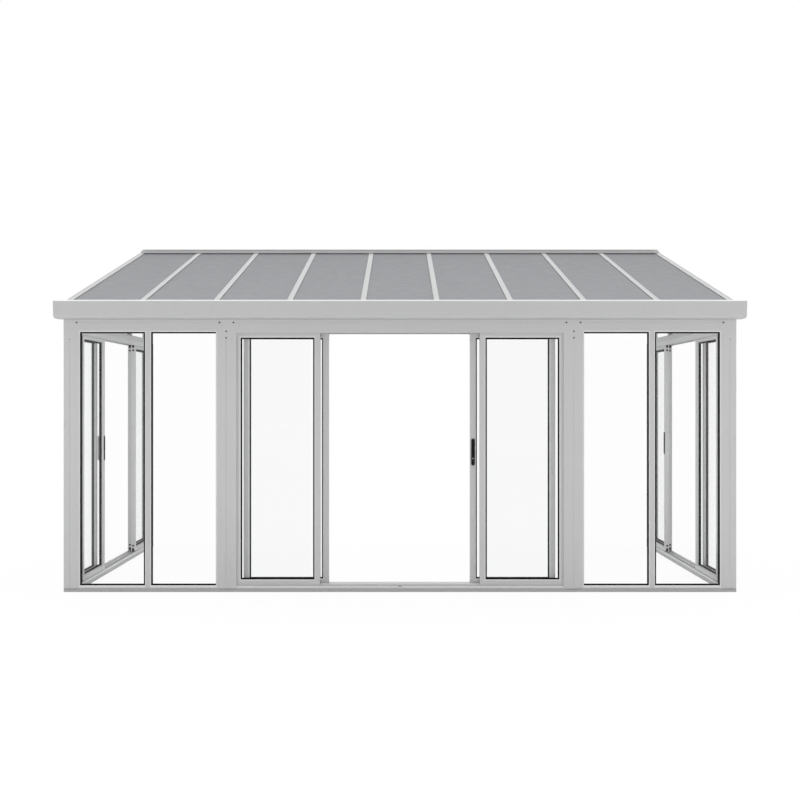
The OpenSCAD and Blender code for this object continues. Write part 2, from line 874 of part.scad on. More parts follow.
// Black strips under the edges of each cap, where a panel lies below
module cap_gasket(edge_x) {
    leg = 18;
    block([edge_x, -eaves_l + leg, gasket_z], [edge_x + gasket_w, hood_start, cap_z]);
}

module cap_gaskets() {
    color("black") on_slope() {
        for (x = rafter_xs, edge_x = [-rafter_w / 2, rafter_w / 2 - gasket_w])
            cap_gasket(x + edge_x);
        at_ends() cap_gasket(-verge_in);
    }
}

// A cap has two low shoulders and a shallow valley between them
module cap_section() {
    edge = 2;
    valley = rafter_w * 0.16;
    sink = 1.2;
    half = rafter_w / 2;
    polygon([[-half, cap_z], [half, cap_z], [half, cap_top - edge],
             [half - edge, cap_top], [valley + edge, cap_top], [valley, cap_top - sink],
             [-valley, cap_top - sink], [-valley - edge, cap_top],
             [-half + edge, cap_top], [-half, cap_top - edge]]);
}

// The cap of the right-hand end rafter falls outwards and turns down at its edge
module verge_section() {
    edge = 2;
    fall = 2.5;
    leg_t = 3;
    polygon([[-verge_in, cap_z], [verge_edge - leg_t, cap_z],
             [verge_edge - leg_t, cap_z - verge_drop], [verge_edge, cap_z - verge_drop],
             [verge_edge, cap_top - fall], [0, cap_top], [-verge_in + edge, cap_top],
             [-verge_in, cap_top - edge]]);
}

// The end caps run on to the house wall, and the others end under the hood
module rafter_caps() {
    under_hood = 40;
    color("gainsboro") on_slope() {
        for (x = rafter_xs) translate([x, 0, 0])
            run_y(-eaves_l, hood_start + under_hood) cap_section();
        at_ends() run_y(-eaves_l, slope_l) verge_section();
    }
}

// ---- Wall plate ----

// The hood over the panels' ends and the flat top, against the house wall
module plate_upper_section() {
    inner = wall_depth - plate_t;
    polygon([[hood_y, hood_foot], [hood_y + hood_t, hood_foot],
             [hood_y + hood_t, hood_foot + hood_lip - hood_t], [step_y, hood_z - hood_t],
             [inner, hood_z - hood_t], [inner, under_rafter(wall_depth)],
             [wall_depth, under_rafter(wall_depth)], [wall_depth, hood_z + plate_step],
             [step_y, hood_z + plate_step], [step_y, hood_z], [hood_y, hood_foot + hood_lip]]);
}

// Between the gables the back reaches lower and carries the rafters' shelf
module plate_lower_section() {
    inner = wall_depth - plate_t;
    nose = wall_depth - shelf_d;
    shelf_t = 7;
    foot = under_rafter(wall_depth) - plate_foot;
    polygon([[wall_depth, foot], [wall_depth, under_rafter(wall_depth) + EPS],
             [inner, under_rafter(wall_depth) + EPS], [inner, under_rafter(inner)],
             [nose, under_rafter(nose)], [nose, under_rafter(nose) - shelf_t],
             [inner, under_rafter(inner) - shelf_t - 8], [inner, foot]]);
}

module wall_plate() {
    hole_z = over_rafter(wall_depth, panel_z / 2);
    color("silver") on_front() difference() {
        union() {
            run_x(-half_w, half_w) plate_upper_section();
            run_x(-half_w + post_w, half_w - post_w) plate_lower_section();
        }
        run_x(-half_w + plate_block, half_w - plate_block)
            translate([step_y - EPS, hood_z]) square([plate_groove_d + EPS, plate_groove_h]);
        for (x = bay_xs)
            translate([x, wall_depth - plate_t - EPS, hole_z]) rotate([-90, 0, 0])
                cylinder(r = fixing_r, h = plate_t + 2 * EPS);
    }
}

// ---- Gables ----

// Distances behind the wall's face: the frame's ends and its bars, which
// stand over the meeting stiles and the middle of the doors below
gable_from = beam_depth;
gable_to = wall_depth;
door_mid = post_w + half_door;
bar_offset = fixed_x + leaf_rail / 2;
gable_bars = [door_mid - bar_offset, door_mid, door_mid + bar_offset];
gable_cuts = concat([gable_from + gable_end - gable_bar / 2], gable_bars,
                    [gable_to - gable_end + gable_bar / 2]);

// One light between two bars, grown by edge on every side
module gable_light(i, edge) {
    a = gable_cuts[i] + gable_bar / 2 - edge;
    b = gable_cuts[i + 1] - gable_bar / 2 + edge;
    foot = wall_h + gable_foot - edge;
    drop = gable_head - edge;
    polygon([[a, foot], [b, foot], [b, over_rafter(b, -drop)], [a, over_rafter(a, -drop)]]);
}

gable_lip = (post_w - glazing_t) / 2;

// Runs a gable section through part of the wall's thickness, on both sides
module on_gables(y0, y1) {
    on_front() for (side = SIDES)
        if (side < 0) run_x(-half_w + y0, -half_w + y1) children();
        else run_x(half_w - y1, half_w - y0) children();
}

module gable_frames() {
    color("silver") difference() {
        on_gables(0, post_w)
            polygon([[gable_from, wall_h], [gable_to, wall_h],
                     [gable_to, under_rafter(gable_to)],
                     [gable_from, under_rafter(gable_from)]]);
        on_gables(-EPS, post_w + EPS)
            for (i = [0:3]) gable_light(i, 0);
        on_gables(gable_lip, gable_lip + glazing_t)
            for (i = [0:3]) gable_light(i, pocket_edge);
    }
}

module gable_panes() {
    color("azure", 0.4) on_gables(gable_lip + seal_t, gable_lip + seal_t + pane_t)
        for (i = [0:3]) gable_light(i, pane_edge);
}

module gable_seals() {
    color("black")
        for (y = [gable_lip, gable_lip + seal_t + pane_t])
            on_gables(y, y + seal_t)
                for (i = [0:3]) difference() {
                    gable_light(i, seal_edge);
                    gable_light(i, -seal_show);
                }
}

// ---- Nodes ----

base_rail_front();
base_rail_sides();
corner_posts();
window_frames();
window_panes();
window_seals();
door_heads();
door_sills();
door_jambs();
fixed_leaf_frames();
fixed_leaf_panes();
fixed_leaf_seals();
on_front() door_leaf(-1);  // front_left_leaf
on_front() door_pane(-1);  // front_left_pane
on_front() door_seals(-1);  // front_left_seals
on_front() door_leaf(1);  // front_right_leaf
on_front() door_pane(1);  // front_right_pane
on_front() door_seals(1);  // front_right_seals
on_left() door_leaf(1);  // left_front_leaf
on_left() door_pane(1);  // left_front_pane
on_left() door_seals(1);  // left_front_seals
on_left() door_leaf(-1);  // left_rear_leaf
on_left() door_pane(-1);  // left_rear_pane
on_left() door_seals(-1);  // left_rear_seals
on_right() door_leaf(-1);  // right_front_leaf
on_right() door_pane(-1);  // right_front_pane
on_right() door_seals(-1);  // right_front_seals
on_right() door_leaf(1);  // right_rear_leaf
on_right() door_pane(1);  // right_rear_pane
on_right() door_seals(1);  // right_rear_seals
on_front() handle();  // front_handle
on_left() handle();  // left_handle
on_right() handle();  // right_handle
eaves_beam();
gutter();
gutter_floor();
gutter_back();
gutter_end_caps();
rafters();
roof_panels();
panel_closers();
cap_gaskets();
rafter_caps();
wall_plate();
gable_frames();
gable_panes();
gable_seals();
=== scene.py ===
# %% [markdown]
# # A lean-to conservatory
# The frames, glass, doors, gutter and roof come from an exact CAD model in real
# metres. This lesson gives every one of them a finish, and adds the small parts
# that are too fine for the CAD model: glazing beads, spacer bars, screws, covers,
# key plugs and brush seals. Then it lights the whole and looks at it from the
# garden.

# %% Load the CAD frame
import json
import math
from collections import defaultdict
import bmesh
import bpy
from mathutils import Matrix, Vector


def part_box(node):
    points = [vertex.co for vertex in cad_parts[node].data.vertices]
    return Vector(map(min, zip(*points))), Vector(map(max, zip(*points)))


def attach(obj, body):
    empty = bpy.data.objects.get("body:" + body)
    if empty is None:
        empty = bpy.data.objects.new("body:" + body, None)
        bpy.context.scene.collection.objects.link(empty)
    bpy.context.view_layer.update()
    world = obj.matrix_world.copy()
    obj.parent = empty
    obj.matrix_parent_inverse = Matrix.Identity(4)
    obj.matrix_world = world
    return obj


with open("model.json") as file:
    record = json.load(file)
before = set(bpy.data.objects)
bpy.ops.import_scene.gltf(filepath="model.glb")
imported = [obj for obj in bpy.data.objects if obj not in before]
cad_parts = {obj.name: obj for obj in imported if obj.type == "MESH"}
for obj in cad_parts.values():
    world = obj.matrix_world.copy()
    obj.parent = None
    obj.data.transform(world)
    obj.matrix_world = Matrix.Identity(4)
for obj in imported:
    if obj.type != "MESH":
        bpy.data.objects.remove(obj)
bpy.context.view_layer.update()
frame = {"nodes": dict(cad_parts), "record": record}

# %% [markdown]
# ## Measures taken from the CAD model
# A CAD node may hold several separate solids, such as the six jambs of the
# three door sets. Small parts go on to single solids, so a helper finds the
# box of each one. It merges a copy of the mesh, then walks from vertex to
# vertex along the edges until a solid is complete. The boxes are sorted, so that
# they come in the same order each time. Reading the places from the model is
# better than typing them, because they stay right if the model changes.

# %% Boxes of the separate solids in a node
def solid_boxes(node):
    """The lowest and highest corner of each separate solid of a CAD node."""
    shape = bmesh.new()
    shape.from_mesh(frame["nodes"][node].data)
    bmesh.ops.remove_doubles(shape, verts=shape.verts, dist=0.00002)
    waiting = set(shape.verts)
    boxes = []
    while waiting:
        reached = [waiting.pop()]
        points = []
        while reached:
            vert = reached.pop()
            points.append(vert.co.copy())
            for edge in vert.link_edges:
                other = edge.other_vert(vert)
                if other in waiting:
                    waiting.discard(other)
                    reached.append(other)
        low = Vector([min(p[i] for p in points) for i in range(3)])
        high = Vector([max(p[i] for p in points) for i in range(3)])
        boxes.append((low, high))
    shape.free()
    boxes.sort(key=lambda box: tuple(box[0]))
    return boxes


posts_low, posts_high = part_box("corner_posts")
front_y = posts_low.y
half_width = posts_high.x
wall_top = posts_high.z
rail_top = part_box("base_rail_front")[1].z
front_jambs = [box for box in solid_boxes("door_jambs") if box[0].y < front_y + 0.001]
door_edge = max(box[1].x for box in front_jambs)
print("front jambs from", [round(box[0].x, 3) for box in front_jambs], "outer edge", round(door_edge, 3))

# %% [markdown]
# ## Where the three walls are
# Each wall has the same set of doors. A small part is made once in a wall's own
# measure: x along the wall to the right as seen from outside, y inwards, z up.
# A matrix for each wall then puts it in place.

# %% Matrices of the three walls
side_middle = (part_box("left_front_leaf")[0].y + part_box("left_rear_leaf")[1].y) / 2
walls = {
    "front": Matrix.Translation((0, front_y, 0)),
    "left": Matrix.Translation((-half_width, side_middle, 0)) @ Matrix.Rotation(-math.pi / 2, 4, "Z"),
    "right": Matrix.Translation((half_width, side_middle, 0)) @ Matrix.Rotation(math.pi / 2, 4, "Z"),
}
# the wall of each sliding leaf, and the half of the doorway it stands in
sliding_leaves = {
    "front_left": ("front", -1), "front_right": ("front", 1),
    "left_front": ("left", 1), "left_rear": ("left", -1),
    "right_front": ("right", -1), "right_rear": ("right", 1),
}
print("side doors are centred at y", round(side_middle, 4))


def on_wall(wall, box):
    """A box's corners in a wall's own measure."""
    back = walls[wall].inverted()
    a = back @ box[0]
    b = back @ box[1]
    return Vector([min(a[i], b[i]) for i in range(3)]), Vector([max(a[i], b[i]) for i in range(3)])


def wall_of(box):
    """The wall that a box stands in: the one whose outer face it is nearest to."""
    middle = (box[0] + box[1]) / 2
    depths = {name: (place.inverted() @ middle).y for name, place in walls.items()}
    return min(depths, key=lambda name: abs(depths[name]))

# %% [markdown]
# ## The camera
# The view is square on to the front, from the height of a person's eyes, about
# nine metres away. The lens is level, so all uprights stay upright in the image.

# %% Place the camera
EYE_HEIGHT = 1.53
EYE_DISTANCE = 9.05
camera_data = bpy.data.cameras.new("camera")
camera_data.sensor_width = 36.0
camera_data.lens = 51.1
camera_data.clip_end = 500.0
camera = bpy.data.objects.new("camera", camera_data)
camera.location = (0.0, front_y - EYE_DISTANCE, EYE_HEIGHT)
camera.rotation_euler = (math.pi / 2, 0.0, 0.0)
bpy.context.scene.collection.objects.link(camera)
bpy.context.scene.camera = camera
print("camera at", [round(v, 3) for v in camera.location])

# %% [markdown]
# ## Short ways to write a material
# A finish is a tree of nodes. The first helper makes a function that adds one
# node to a tree, with its settings and its inputs, so that each material below
# reads as a list of what it does. A value that is another node's output is linked,
# and any other value is set. The others name the steps that come back often.

# %% A function that adds nodes
def node_adder(tree):
    """A function that adds a node to a tree. Inputs go by name, or as _0, _1 by number."""
    def add(kind, settings=None, **inputs):
        node = tree.nodes.new("ShaderNode" + kind)
        for key, value in (settings or {}).items():
            setattr(node, key, value)
        for key, value in inputs.items():
            socket = node.inputs[int(key[1:])] if key[1:].isdigit() else node.inputs[key.replace("_", " ")]
            if isinstance(value, bpy.types.NodeSocket):
                tree.links.new(value, socket)
            else:
                socket.default_value = value
        return node

    return add


def new_material(name):
    """An empty material, and the function that adds nodes to it."""
    material = bpy.data.materials.new(name)
    material.use_nodes = True
    material.node_tree.nodes.clear()
    return material, node_adder(material.node_tree)


# %% Steps that come back in many materials
def maths(add, operation, first, second=0.0):
    """The result of an operation on one or two values."""
    return add("Math", {"operation": operation}, _0=first, _1=second).outputs["Value"]


def spread(add, value, low, high, to_low, to_high):
    """Maps a range of values on to another one."""
    node = add("MapRange", None, Value=value, From_Min=low, From_Max=high, To_Min=to_low, To_Max=to_high)
    return node.outputs["Result"]


def turn_at(add, value, edge, before, after, softness=0.001):
    """Changes from one value to another where the input passes an edge."""
    return spread(add, value, edge - softness, edge + softness, before, after)


def stretched(add, scale):
    """Places on the piece, in metres, stretched by scale."""
    place = add("TexCoord").outputs["Object"]
    return add("Mapping", None, Vector=place, Scale=scale).outputs["Vector"]


def noise(add, vector, scale, detail):
    """A soft random pattern with scale features to the metre."""
    node = add("TexNoise", None, Vector=vector, Scale=scale, Detail=detail)
    return node.outputs["Fac"]


def scaled(add, colour, tone):
    """A colour made darker or paler by a tone."""
    return add("VectorMath", {"operation": "SCALE"}, _0=colour, Scale=tone).outputs["Vector"]


def blended(add, share, first, second):
    """A mix of two colours."""
    return add("Mix", {"data_type": "RGBA"}, _0=share, _6=first, _7=second).outputs["Result"]


def skin_of(add, colour, gloss, bump, specular=0.5, metallic=0.0):
    """The shader of an opaque skin."""
    return add("BsdfPrincipled", None, Base_Color=colour, Roughness=gloss, Normal=bump.outputs["Normal"],
               Specular_IOR_Level=specular, Metallic=metallic).outputs["BSDF"]


# %% [markdown]
# ## Powder coat
# The aluminium is sprayed with grey powder and baked. The film melts into a
# satin skin with a faint orange peel, about a millimetre from hump to hump.
# The tone drifts a little from one profile to the next, rain leaves pale
# streaks down the uprights, and the lowest part gathers some dust. A bump
# alone carries the orange peel, because it is far too fine for a mesh. On the
# gutter the coat turns pale from a given height up: a painted highlight along
# the bevelled nose.

# %% A powder coat in any grey
DUST = (0.46, 0.43, 0.38, 1.0)
# a painted highlight: the pale grey, and its share, laid over the gutter's nose
NOSE_HIGHLIGHT_GREY = (0.93, 0.93, 0.93, 1.0)
NOSE_HIGHLIGHT_SHARE = 0.9
# painted shade: the tone of the outer halves of the end roof bars
END_BAR_SHADE = 0.84


def powder_coat(name, grey, roughness=0.42, dust=0.05, highlight_from=None, shade_beyond=None, specular=0.35):
    material, add = new_material(name)
    place = add("TexCoord").outputs["Object"]
    drift = spread(add, noise(add, place, 1.1, 2.0), 0.3, 0.7, 0.985, 1.015)
    streak = spread(add, noise(add, stretched(add, (60, 60, 2.5)), 1.0, 4.0), 0.35, 0.65, 0.992, 1.008)
    grain = spread(add, noise(add, place, 1600.0, 2.0), 0.35, 0.65, 0.985, 1.015)
    tone = maths(add, "MULTIPLY", maths(add, "MULTIPLY", drift, streak), grain)
    # painted shade: the coat is darker beyond a given distance from the middle
    if shade_beyond is not None:
        out = maths(add, "ABSOLUTE", add("SeparateXYZ", None, Vector=place).outputs["X"])
        dim = turn_at(add, out, shade_beyond, 1.0, END_BAR_SHADE, softness=0.002)
        tone = maths(add, "MULTIPLY", tone, dim)
    height = add("SeparateXYZ", None, Vector=place).outputs["Z"]
    low_down = spread(add, height, 0.03, 0.55, dust, 0.0)
    patches = spread(add, noise(add, place, 23.0, 5.0), 0.4, 0.75, 0.3, 1.0)
    colour = blended(add, maths(add, "MULTIPLY", low_down, patches), scaled(add, grey, tone), DUST)
    # painted highlight: from this height up the coat turns pale
    if highlight_from is not None:
        nose_highlight = turn_at(add, height, highlight_from, 0.0, NOSE_HIGHLIGHT_SHARE)
        colour = blended(add, nose_highlight, colour, NOSE_HIGHLIGHT_GREY)
    bump = add("Bump", None, Strength=1.0, Distance=0.00002, Height=noise(add, place, 900.0, 1.0))
    gloss = spread(add, noise(add, place, 35.0, 4.0), 0.3, 0.7, roughness - 0.03, roughness + 0.05)
    add("OutputMaterial", None, Surface=skin_of(add, colour, gloss, bump, specular))
    return material


# %% [markdown]
# ## The greys of the coats
# The parts face the light in different ways, so one grey would not look right on
# all of them. The roof bars, the door sills, the wall plate and the beads get a
# paler grey than the frames, which is painted light, and the outer halves of the
# two end roof bars are dimmed, which is painted shade. The base rail gets a darker grey.

# %% One coat for each kind of part
FRAME_GREY = (0.453, 0.454, 0.455)
NOSE_HEIGHT = 0.009
CAP_HALF_WIDTH = 0.026
nose_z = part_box("gutter")[1].z - NOSE_HEIGHT
last_bar_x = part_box("rafter_caps")[1].x - CAP_HALF_WIDTH
print("gutter nose from z", round(nose_z, 4), "middle of the last roof bar at x", round(last_bar_x, 4))
frame_coat = powder_coat("frame_coat", FRAME_GREY, dust=0.03)
# the gutter's coat has a painted highlight along its bevelled nose
gutter_coat = powder_coat("gutter_coat", (0.432, 0.433, 0.434), roughness=0.38, dust=0.0,
                          highlight_from=nose_z)
# the paler greys of the wall plate, roof bars, sills and beads are painted light
plate_coat = powder_coat("plate_coat", (0.50, 0.501, 0.502), roughness=0.4, dust=0.0)
# the outer halves of the end roof bars get painted shade
roof_bar_coat = powder_coat("roof_bar_coat", (0.59, 0.593, 0.596), roughness=0.4, dust=0.0,
                            shade_beyond=last_bar_x)
base_rail_coat = powder_coat("base_rail_coat", (0.365, 0.366, 0.368), roughness=0.5)
sill_coat = powder_coat("sill_coat", (0.56, 0.561, 0.562))
bead_coat = powder_coat("bead_coat", (0.60, 0.601, 0.602), roughness=0.32, dust=0.0)

# %% [markdown]
# ## Clear glass
# Each unit is float glass with its edges in the frames. It passes nearly all
# the light, with a trace of grey-green, and bends what is behind it by so little
# that no eye would see it. So the glass isn't a solid that bends light, which
# takes long to render and is noisy. It is a clear sheet that takes a little light
# at each face, and mirrors more the flatter the eye looks along it.

# %% Glass
HEAD_ON_MIRROR = 0.01
GLANCING_MIRROR = 0.12


def clear_glass(name, tint):
    material, add = new_material(name)
    place = add("TexCoord").outputs["Object"]
    film = spread(add, noise(add, place, 3.0, 4.0), 0.4, 0.75, 0.0, 0.02)
    clear = add("BsdfTransparent", None, Color=tint)
    mirror = add("BsdfPrincipled", None, Base_Color=(0.96, 0.97, 0.965, 1.0), Metallic=1.0, Roughness=film)
    facing = add("LayerWeight", None, Blend=0.5).outputs["Facing"]
    share = spread(add, maths(add, "POWER", facing, 5.0), 0.0, 1.0, HEAD_ON_MIRROR, GLANCING_MIRROR)
    mixed = add("MixShader", None, _0=share, _1=clear.outputs["BSDF"], _2=mirror.outputs["BSDF"])
    add("OutputMaterial", None, Surface=mixed.outputs["Shader"])
    return material


window_glass = clear_glass("window_glass", (0.9905, 0.9915, 0.991, 1.0))
door_glass = clear_glass("door_glass", (0.984, 0.985, 0.9845, 1.0))
print("glass:", window_glass.name, door_glass.name)

# %% [markdown]
# ## Roof sheet
# The panels are multiwall plastic sheet: two skins with thin ribs between them
# that run down the slope about 16 mm apart. The grey skins let a little light
# into the cells, so the ribs show as faint stripes. The stripe is worked out
# from the place across the roof, and the skin is dull, with rain marks. Up the
# slope it darkens, which is painted shade. About half the daylight gets through
# such a sheet, scattered. So rays from lamps, and rays that carry soft light,
# meet a sheet that is half clear, while the eye meets the closed skin.

# %% Multiwall sheet
RIB_PITCH = 0.016
# painted shade: the sheet darkens between these two depths, down to a share at the top
SHADE_FROM = 0.5                                    # depths behind the front's outer face
SHADE_TO = 2.8
SHADE_AT_TOP = 0.90


def multiwall_sheet(name, grey):
    material, add = new_material(name)
    place = add("TexCoord").outputs["Object"]
    across = add("SeparateXYZ", None, Vector=place).outputs["X"]
    rib = maths(add, "SINE", maths(add, "MULTIPLY", across, 2 * math.pi / RIB_PITCH))
    thin_rib = spread(add, rib, 0.75, 1.0, 0.0, 1.0)
    stripe = spread(add, thin_rib, 0.0, 1.0, 1.0, 0.93)
    drift = spread(add, noise(add, stretched(add, (5, 0.6, 0.6)), 1.0, 2.0), 0.3, 0.7, 0.99, 1.01)
    marks = spread(add, noise(add, place, 55.0, 5.0), 0.45, 0.8, 1.0, 0.985)
    tone = maths(add, "MULTIPLY", maths(add, "MULTIPLY", stripe, drift), marks)
    depth = add("SeparateXYZ", None, Vector=place).outputs["Y"]
    # painted shade, darker up the slope
    slope_shade = spread(add, depth, front_y + SHADE_FROM, front_y + SHADE_TO, 1.0, SHADE_AT_TOP)
    tone = maths(add, "MULTIPLY", tone, slope_shade)
    bump = add("Bump", None, Strength=0.6, Distance=0.0002, Height=thin_rib)
    gloss = spread(add, noise(add, place, 12.0, 4.0), 0.3, 0.7, 0.5, 0.62)
    skin = skin_of(add, scaled(add, grey, tone), gloss, bump, specular=0.2)
    clear = add("BsdfTransparent", None, Color=(0.97, 0.98, 1.0, 1.0)).outputs["BSDF"]
    half_clear = add("MixShader", None, _0=0.5, _1=skin, _2=clear).outputs["Shader"]
    ray = add("LightPath")
    shader = skin
    for kind in ("Is Shadow Ray", "Is Diffuse Ray"):
        shader = add("MixShader", None, _0=ray.outputs[kind], _1=shader, _2=half_clear).outputs["Shader"]
    add("OutputMaterial", None, Surface=shader)
    return material


roof_sheet = multiwall_sheet("roof_sheet", (0.294, 0.300, 0.315))
print("roof sheet with a rib every", RIB_PITCH, "m")

# %% [markdown]
# ## Black rubber and the handle's black lacquer
# Glazing seals are soft black rubber with a dull, slightly dusty face. Those of
# the gables are grey, to go with the frames. The front handle is die-cast metal
# with a finer and glossier black coat.

# %% Rubber and handle finishes
BLACK_LACQUER = (0.006, 0.006, 0.0065)


def rubber(name, dark=0.004, pale=0.008):
    material, add = new_material(name)
    place = add("TexCoord").outputs["Object"]
    bloom = spread(add, noise(add, place, 40.0, 4.0), 0.35, 0.7, dark, pale)
    grey = add("CombineColor", None, Red=bloom, Green=bloom, Blue=bloom).outputs["Color"]
    bump = add("Bump", None, Strength=0.5, Distance=0.00002, Height=noise(add, place, 1500.0, 2.0))
    gloss = spread(add, noise(add, place, 90.0, 3.0), 0.3, 0.7, 0.62, 0.78)
    add("OutputMaterial", None, Surface=skin_of(add, grey, gloss, bump, specular=0.08))
    return material


seal_rubber = rubber("seal_rubber")
gable_rubber = rubber("gable_rubber", 0.44, 0.5)
handle_coat = powder_coat("handle_coat", BLACK_LACQUER, roughness=0.3, dust=0.0, specular=0.1)
print("black finishes:", seal_rubber.name, handle_coat.name)

# %% [markdown]
# ## Handles of two colours
# Each side door's handle is black inside the room and frame-grey outside. Both
# plates are in one CAD node, so the coat picks its colour by the distance from
# the middle of the building, in metres along X.

# %% A coat that is grey outside and black inside
def two_tone_coat(name, outside_from):
    material, add = new_material(name)
    place = add("TexCoord").outputs["Object"]
    out = maths(add, "ABSOLUTE", add("SeparateXYZ", None, Vector=place).outputs["X"])
    outside = turn_at(add, out, outside_from, 0.0, 1.0)
    drift = spread(add, noise(add, place, 30.0, 3.0), 0.3, 0.7, 0.96, 1.04)
    colour = blended(add, outside, (*BLACK_LACQUER, 1.0), scaled(add, FRAME_GREY, drift))
    bump = add("Bump", None, Strength=1.0, Distance=0.00002, Height=noise(add, place, 900.0, 1.0))
    gloss = spread(add, noise(add, place, 35.0, 4.0), 0.3, 0.7, 0.32, 0.4)
    add("OutputMaterial", None, Surface=skin_of(add, colour, gloss, bump, specular=0.15))
    return material


leaf_low, leaf_high = on_wall("left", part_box("left_front_leaf"))
side_leaf_middle = half_width - (leaf_low.y + leaf_high.y) / 2
side_handle_coat = two_tone_coat("side_handle_coat", side_leaf_middle)
print("side handles turn grey beyond", round(side_leaf_middle, 3), "m")

# %% [markdown]
# ## Steel, plastic and brush
# The frame screws are dark steel, with a dull sheen and some wear on their rims.
# The screws and covers in the leaves' edges have a matt black coat, which hides
# the metal. The drain covers are grey plastic, and the key plugs are nickel. The
# draught brushes are dark grey nylon pile, with fine streaks along the hairs.

# %% Finishes of the small fittings
def fitting_finish(name, grey, roughness, metallic):
    material, add = new_material(name)
    place = add("TexCoord").outputs["Object"]
    wear = spread(add, noise(add, place, 400.0, 4.0), 0.35, 0.7, 0.8, 1.25)
    scratch = noise(add, stretched(add, (2500, 2500, 400)), 1.0, 2.0)
    bump = add("Bump", None, Strength=0.4, Distance=0.00002, Height=scratch)
    gloss = spread(add, noise(add, place, 250.0, 3.0), 0.3, 0.7, roughness - 0.08, roughness + 0.1)
    skin = skin_of(add, scaled(add, grey, wear), gloss, bump, 0.15, metallic)
    add("OutputMaterial", None, Surface=skin)
    return material


def brush_pile(name, grey):
    material, add = new_material(name)
    hairs = noise(add, stretched(add, (1800, 1800, 60)), 1.0, 3.0)
    colour = scaled(add, grey, spread(add, hairs, 0.3, 0.7, 0.6, 1.4))
    bump = add("Bump", None, Strength=0.8, Distance=0.0003, Height=hairs)
    gloss = spread(add, hairs, 0.3, 0.7, 0.8, 0.95)
    add("OutputMaterial", None, Surface=skin_of(add, colour, gloss, bump))
    return material


black_steel = fitting_finish("black_steel", (0.006, 0.006, 0.0062), 0.6, 0.0)
dark_steel = fitting_finish("dark_steel", (0.05, 0.05, 0.051), 0.5, 0.3)
cover_plastic = fitting_finish("cover_plastic", (0.24, 0.24, 0.242), 0.55, 0.0)
nickel = fitting_finish("nickel", (0.66, 0.64, 0.60), 0.3, 1.0)
spacer_coat = rubber("spacer_coat")
brush = brush_pile("brush", (0.10, 0.10, 0.105))
print("materials so far:", len(bpy.data.materials))

# %% Put the finishes on the CAD nodes
def give(node, material):
    """Puts a material on a CAD node in place of its plain one."""
    piece = frame["nodes"][node]
    piece.data.materials.clear()
    piece.data.materials.append(material)


slot_finishes = {
    "frame": frame_coat, "gutter": gutter_coat, "roof_bar": roof_bar_coat, "base_rail": base_rail_coat,
    "glass": door_glass, "roof_panel": roof_sheet, "seal": seal_rubber, "handle": side_handle_coat,
}
own_finishes = {
    "window_panes": window_glass, "gable_panes": window_glass, "gable_seals": gable_rubber,
    "wall_plate": plate_coat, "door_sills": sill_coat, "front_handle": handle_coat,
}
for part in frame["record"]["subparts"]:
    give(part["node"], own_finishes.get(part["node"], slot_finishes[part["material_slot"]]))

# %% [markdown]
# ## Making the small pieces
# Each small piece is a bmesh that starts from a simple operator shape. It is made
# round its own middle, laid where it belongs by a matrix, and then becomes an
# object that rides on a CAD body. Like pieces on one body share an object.

# %% Helpers for pieces
def lay(target, shape, place):
    """Moves a finished shape to its place and adds it to the target bmesh."""
    bmesh.ops.transform(shape, matrix=place, verts=shape.verts)
    held = bpy.data.meshes.new("held")
    shape.to_mesh(held)
    shape.free()
    target.from_mesh(held)
    bpy.data.meshes.remove(held)


def add_piece(name, shape, body, material):
    """Makes a bmesh an object that rides on a body, and stops at an empty one."""
    if not shape.faces:
        raise ValueError(name + " has no faces")
    mesh = bpy.data.meshes.new(name)
    shape.to_mesh(mesh)
    shape.free()
    mesh.materials.append(material)
    piece = bpy.data.objects.new(name, mesh)
    bpy.context.scene.collection.objects.link(piece)
    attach(piece, body)


STAND_UP = Matrix.Rotation(math.pi / 2, 4, "X")     # turns a face that looks up to the outside
SINK = 0.0001                                       # a fitting's foot lies this deep in what carries it

# %% [markdown]
# ## The openings that hold glass
# Beads, spacers and seals all run round the openings, so the openings are found
# first. A pane reaches 8 mm into its frame, so an opening is its pane less 8 mm
# on each side. Each entry tells the group, the body, the wall and the pane's box.

# %% Find every opening
PANE_EDGE = 0.008
openings = []
for group in ("window", "fixed_leaf"):
    for box in solid_boxes(group + "_panes"):
        openings.append((group, "root", wall_of(box), box))
for body, (wall, side) in sliding_leaves.items():
    openings.append((body, body, wall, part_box(body + "_pane")))
print("openings with glass:", len(openings))

# %% [markdown]
# ## Glazing beads
# On the real frames a slim mitred bead snaps in round each pane, on the sloping
# edge of the opening. A ring with the right slope is one rectangle that is inset:
# the new border is the ring, and its inner edge is pushed back towards the glass.
# A lone face has only boundary edges, so the inset has to be told to use them.
# Then the middle is deleted and the ring gets a thickness. It stands half a
# millimetre proud of the frame, which leaves the sliding leaves their clearance.

# %% Shape of a bead
BEAD_WIDTH = 0.0078
BEAD_THICKNESS = 0.0008
BEAD_SET_BACK = 0.0003                              # so the ring is 0.5 mm proud


